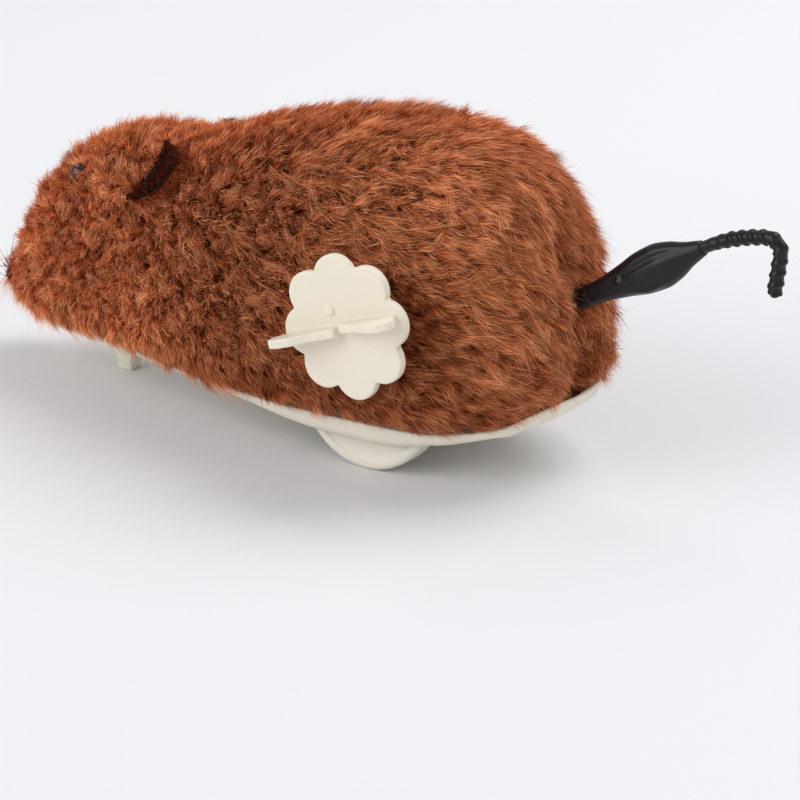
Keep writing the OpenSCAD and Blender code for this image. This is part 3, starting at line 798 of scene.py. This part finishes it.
def growStrands(count, lengthScale, widthScale, leanScale, below=None):
    tufts = pileTufts
    place, normal, depth = sampleSkin(count, below)
    rump = rumpShare(place)
    tuft = nearestTuft(tufts, place)
    lean = furSetup["headLean"] + (furSetup["rumpLean"] - furSetup["headLean"]) * rump
    lean = (lean + tufts["lean"][tuft] + random.normal(0, 7, count)) * leanScale
    lean = np.radians(np.clip(lean, 2, 74))
    own = flowAlong(place, normal, 0.85 - 0.60 * rump)
    flow = tufts["flow"][tuft] * 0.75 + own * 0.5
    flow = unit(flow - (flow * normal).sum(1)[:, None] * normal)
    height = depth * tufts["length"][tuft] * random.normal(0.98, 0.08, count) * lengthScale
    reach = height * np.tan(lean)
    root = place - normal * (depth * 0.97)[:, None] - flow * (reach * 0.45)[:, None]
    towards = tufts["place"][tuft] - place
    towards -= (towards * normal).sum(1)[:, None] * normal
    pull = furSetup["clump"] * random.random(count)[:, None] * towards
    drift = random.normal(0, 0.00032, (count, 3))
    bow = random.normal(0, 0.00012, (count, 3)) + tufts["curl"][tuft]
    rings = []
    for t in (0.0, 0.4, 0.75, 1.0):
        up = height * (1.3 * t - 0.3 * t * t)
        forward = reach * (0.4 * t + 0.6 * t * t)
        rings.append(root + normal * up[:, None] + flow * forward[:, None] + (pull + drift) * t * t
                     + bow * math.sin(2.6 * t) * t)
    tint = np.clip(0.5 + tufts["tint"][tuft] + random.normal(0, 0.28, count), 0.02, 0.98)
    return {"rings": rings, "normal": normal, "tint": tint, "start": 0.01 + 0.24 * (1 - rump),
            "width": furSetup["width"] * mm * widthScale}


def clearOfHardware(strands):
    # no strand crosses the key's hub, the tail, the ears' cups or the room under the base
    keyAt = np.array(joints["key_turn"]["pos_m"])
    keep = strands["rings"][3][:, 2] > furSetup["floorClear"] * mm
    for ring in strands["rings"]:
        fromKey = np.hypot(ring[:, 1] - keyAt[1], ring[:, 2] - keyAt[2])
        keep &= ~((fromKey < furSetup["hubClear"] * mm) & (ring[:, 0] > 0.012))
        rel = ring - tailRoot * mm
        s = rel @ tailAxis
        off = np.linalg.norm(rel - s[:, None] * tailAxis, axis=1)
        keep &= ~((off < furSetup["tailClear"] * mm) & (s > 0.030))
    cups = earCupTree()
    nearEars = np.abs(strands["rings"][3][:, 1] - 0.018) < 0.012
    for k in np.nonzero(nearEars & keep)[0]:
        gap = min(cups.find(Vector(strands["rings"][i][k]))[2] for i in (2, 3))
        keep[k] = gap > furSetup["cupClear"] * mm
    return keep


def ribbonMesh(name, strands, chosen):
    rings = [ring[chosen] for ring in strands["rings"]]
    normal, tint, start = (strands[key][chosen] for key in ("normal", "tint", "start"))
    top = strands["top"][chosen] if "top" in strands else np.full(len(chosen), 0.99)
    count = len(tint)
    along = unit(rings[3] - rings[0])
    flat = unit(np.cross(along, normal))
    roll = random.normal(0, 0.75, count)[:, None]
    across = flat * np.cos(roll) + np.cross(along, flat) * np.sin(roll)
    half = strands["width"] * random.uniform(0.7, 1.3, count)[:, None] / 2
    points = np.empty((count, 7, 3))
    for k, share in enumerate((0.8, 1.0, 0.72)):
        points[:, 2 * k] = rings[k] - across * half * share
        points[:, 2 * k + 1] = rings[k] + across * half * share
    points[:, 6] = rings[3]
    pattern = np.array([0, 1, 3, 2, 2, 3, 5, 4, 4, 5, 6])
    corners = (np.arange(count)[:, None] * 7 + pattern).ravel()
    mesh = meshFromArrays(name, points.reshape(-1, 3), np.tile([4, 4, 3], count), corners)
    mesh.polygons.foreach_set("use_smooth", np.ones(len(mesh.polygons), bool))
    level = np.array([0.0, 0.0, 0.4, 0.4, 0.75, 0.75, 1.0])[pattern]
    edge = np.array([-1, 1, -1, 1, -1, 1, 0])[pattern] * 0.004
    uv = np.empty((count, len(pattern), 2))
    uv[:, :, 0] = tint[:, None] + edge
    uv[:, :, 1] = start[:, None] + (top - start)[:, None] * level
    layer = mesh.uv_layers.new(name="OFBake")
    layer.uv.foreach_set("vector", uv.astype(np.float32).ravel())
    return mesh


def rampNode(tree, factor, stops):
    ramp = tree.nodes.new("ShaderNodeValToRGB")
    elements = ramp.color_ramp.elements
    while len(elements) < len(stops):
        elements.new(0.5)
    for element, (place, color) in zip(elements, stops):
        element.position = place
        element.color = (*color, 1)
    tree.links.new(factor, ramp.inputs["Fac"])
    return ramp.outputs["Color"]


def pileMaterial():
    material, tree, shader = newMaterial("chestnutPile")
    uv = tree.nodes.new("ShaderNodeUVMap")
    uv.uv_map = "OFBake"
    split = tree.nodes.new("ShaderNodeSeparateXYZ")
    tree.links.new(uv.outputs["UV"], split.inputs[0])
    # root to tip: the fibre's own colour, pale at the tip, with the near-black roots a painted shade of the
    # valleys between tufts
    lengthwise = rampNode(tree, split.outputs["Y"], [
        (0.0, (0.060, 0.011, 0.003)), (0.35, (0.27, 0.056, 0.015)), (0.68, (0.57, 0.160, 0.052)),
        (1.0, (1.0, 0.52, 0.30))])
    # per-strand tone from the tint, which also carries the painted shade low on the rump
    shade = rampNode(tree, split.outputs["X"], [
        (0.0, (0.42, 0.22, 0.12)), (0.5, (0.89, 0.73, 0.56)), (1.0, (1.45, 1.54, 1.36))])
    tree.links.new(mixColors(tree, 1.0, lengthwise, shade, "MULTIPLY"), shader.inputs["Base Color"])
    shader.inputs["Roughness"].default_value = 0.6
    shader.inputs["Specular IOR Level"].default_value = 0.12
    shader.inputs["Sheen Weight"].default_value = 0.05
    shader.inputs["Sheen Roughness"].default_value = 0.4
    shader.inputs["Sheen Tint"].default_value = (1.0, 0.70, 0.55, 1)
    return material


def backingMaterial():
    material, tree, shader = newMaterial("backingCloth")
    cloth = placeGroup(tree, clothFibre, {"Fibre Scale": 2400.0, "Fibre Detail": 2.0, "Patch Scale": 220.0})
    fibre = cloth.outputs["Fibre"]
    color = rampNode(tree, cloth.outputs["Patch"], [
        (0.3, (0.085, 0.022, 0.010)), (0.7, (0.17, 0.050, 0.024))])
    color = mixColors(tree, mathNode(tree, "MULTIPLY", fibre, 0.5), color, (0.05, 0.012, 0.006))
    tree.links.new(color, shader.inputs["Base Color"])
    tree.links.new(bumpFrom(tree, fibre, 0.6, 0.0002), shader.inputs["Normal"])
    shader.inputs["Roughness"].default_value = 0.9
    return material


def makeBacking():
    used, index = np.unique(skinTriangles, return_inverse=True)
    points = skinPoints[used] - skinNormals[used] * (skinDepth[used] * 0.93)[:, None]
    mesh = meshFromArrays("plushBacking", points, np.full(len(skinTriangles), 3), index.ravel())
    mesh.polygons.foreach_set("use_smooth", np.ones(len(mesh.polygons), bool))
    mesh.materials.append(backingMaterial())
    piece = linkMesh("plushBacking", mesh)
    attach(piece, "chassis")
    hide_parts("fur_cover")
    area = sum(face.area for face in mesh.polygons)
    print("backing area", round(area * 1e6), "mm2")
    return piece


pileTufts = tuftField()
pileLook = pileMaterial()


def makePile():
    guardCount = int(furSetup["strands"] * furSetup["guardShare"])
    fringeCount = int(furSetup["strands"] * furSetup["fringeShare"])
    batches = [growStrands(furSetup["strands"], 1.0, 1.0, 1.0), growStrands(guardCount, 1.3, 0.6, 0.8),
               growStrands(fringeCount, 1.25, 0.9, 1.2, 13.0)]
    pieces = []
    for strands in batches:
        kept = np.nonzero(clearOfHardware(strands))[0]
        kept = kept[np.argsort(strands["rings"][0][kept, 1])]
        groups = max(1, math.ceil(len(kept) * 3 / furSetup["pieceFaces"]))
        for chosen in np.array_split(kept, groups):
            name = f"furPile.{len(pieces):02d}"
            piece = linkMesh(name, ribbonMesh(name, strands, chosen))
            piece.data.materials.append(pileLook)
            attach(piece, "chassis")
            pieces.append(piece)
    print("pile pieces", len(pieces))
    return pieces


plushBacking = makeBacking()
pilePieces = makePile()
print("fur ready")

# face


def feltMaterial():
    material, tree, shader = newMaterial("earFelt")
    felt = placeGroup(tree, clothFibre, {"Fibre Scale": 1600.0, "Fibre Detail": 4.0, "Patch Scale": 260.0})
    color = rampNode(tree, felt.outputs["Patch"], [
        (0.3, (0.008, 0.003, 0.002)), (0.75, (0.030, 0.011, 0.006))])
    tree.links.new(color, shader.inputs["Base Color"])
    tree.links.new(bumpFrom(tree, felt.outputs["Fibre"], 0.8, 0.0002), shader.inputs["Normal"])
    shader.inputs["Roughness"].default_value = 0.9
    shader.inputs["Specular IOR Level"].default_value = 0.1
    return material


finishes["ear_felt"] = feltMaterial()


def makeEar(name, node, side):
    rows, columns, t = 44, 22, earSetup["thick"]
    ear = bmesh.new()
    sheets = []
    for face in (0, 1):
        sheet = []
        for i in range(rows + 1):
            along = i / rows
            row = []
            for j in range(columns + 1):
                across = j / columns
                edge = min(1.0, 4.5 * min(across, 1 - across, 1.3 * along, 1.3 * (1 - along)) + 0.12)
                ripple = 0.10 * math.sin(9 * along + 3 * across) * across
                lift = ripple + (0.5 - face) * t * math.sqrt(edge)
                row.append(ear.verts.new(earPoint(side, along, across, lift)))
            sheet.append(row)
        sheets.append(sheet)
    for face, sheet in enumerate(sheets):
        for i in range(rows):
            for j in range(columns):
                quad = [sheet[i][j], sheet[i][j + 1], sheet[i + 1][j + 1], sheet[i + 1][j]]
                ear.faces.new(quad if face else quad[::-1])
    top, under = sheets
    loop = [(i, 0) for i in range(rows)] + [(rows, j) for j in range(columns)]
    loop += [(i, columns) for i in range(rows, 0, -1)] + [(0, j) for j in range(columns, 0, -1)]
    for (i, j), (k, m) in zip(loop, loop[1:] + loop[:1]):
        ear.faces.new([top[i][j], top[k][m], under[k][m], under[i][j]])
    bmesh.ops.remove_doubles(ear, verts=ear.verts, dist=2e-6)
    bmesh.ops.recalc_face_normals(ear, faces=ear.faces)
    for face in ear.faces:
        face.smooth = True
    mesh = bpy.data.meshes.new(name)
    ear.to_mesh(mesh)
    ear.free()
    mesh.materials.append(finishes["ear_felt"])
    piece = linkMesh(name, mesh)
    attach(piece, "chassis")
    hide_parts(node)


def makeEarFuzz(name, side):
    # dark chestnut pile round the ear's edge, short brown nap inside the cup
    count = earSetup["fuzz"]
    roots, normals, flows, inner = [], [], [], []
    for k in range(count):
        inside = k % 2 == 0
        along = 0.03 + 0.94 * random.random()
        across = random.random() ** 0.8 if inside else 1 - 0.35 * random.random() ** 2
        centre = earPoint(side, along, across, 0)
        out = earPoint(side, along, across, 1) - centre
        outward = earPoint(side, along, min(across + 0.05, 1.05), 0)
        outward -= earPoint(side, along, across - 0.05, 0)
        roots.append(centre)
        normals.append(out.normalized() * (1 if inside else -1))
        flows.append(outward.normalized())
        inner.append(inside)
    root, normal, flow = np.array(roots), np.array(normals), np.array(flows)
    inner = np.array(inner)
    length = np.where(inner, 1.1, 2.0) * random.normal(1, 0.2, count) * mm
    drift = random.normal(0, 0.35, (count, 3))
    rings = [root + (normal * 0.55 * t + (flow * 0.8 + drift) * t * t) * length[:, None]
             for t in (0.0, 0.4, 0.75, 1.0)]
    rings = [ring + normal * 0.35 * mm for ring in rings]
    tint = np.where(inner, 0.12, 0.18 + random.normal(0, 0.12, count)).clip(0.02, 0.95)
    strands = {"rings": rings, "normal": normal, "tint": tint, "start": np.where(inner, 0.0, 0.15),
               "top": np.where(inner, 0.36, 0.66), "width": 0.13 * mm}
    piece = linkMesh(name, ribbonMesh(name, strands, np.arange(count)))
    piece.data.materials.append(pileLook)
    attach(piece, "chassis")


for side, label in ((1, "left"), (-1, "right")):
    makeEar("ear." + label, "ear_" + label, side)
    makeEarFuzz("earFuzz." + label, side)


def beadProfile(radius):
    # a domed bead with a small flat collar, as (distance out, radius) pairs
    dome = [(radius * math.sin(a), radius * math.cos(a)) for a in np.linspace(math.radians(88), 0, 14)]
    collar = [(-0.18, 1.02), (-0.30, 0.90), (-0.55, 0.60), (-0.80, 0.15)]
    return dome + [(out * radius, r * radius) for out, r in collar]


def makeBead(node, name, outward, sunk):
    low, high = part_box(node)
    radius = (high.x - low.x) / 2
    axis = Vector(outward).normalized()
    centre = (low + high) / 2 - axis * sunk * mm
    first = axis.orthogonal().normalized()
    second = axis.cross(first)
    bead = bmesh.new()
    rings = []
    around = 40
    for out, r in beadProfile(radius):
        ring = [bead.verts.new(centre + axis * out + (first * math.cos(a) + second * math.sin(a)) * r)
                for a in (2 * math.pi * j / around for j in range(around))]
        rings.append(ring)
    for upper, lower in zip(rings, rings[1:]):
        for j in range(around):
            k = (j + 1) % around
            bead.faces.new([upper[j], lower[j], lower[k], upper[k]])
    bead.faces.new(rings[0])
    bead.faces.new(rings[-1][::-1])
    for face in bead.faces:
        face.smooth = True
    mesh = bpy.data.meshes.new(name)
    bead.to_mesh(mesh)
    bead.free()
    mesh.materials.append(finishes["bead_black"])
    piece = linkMesh(name, mesh)
    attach(piece, "chassis")
    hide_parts(node)


makeBead("eye_left", "eye.left", (0.70, -0.50, 0.51), 1.0)
makeBead("eye_right", "eye.right", (-0.70, -0.50, 0.51), 1.0)
makeBead("nose", "nose", (0, -1, 0.15), 0.0)
print("face ready")
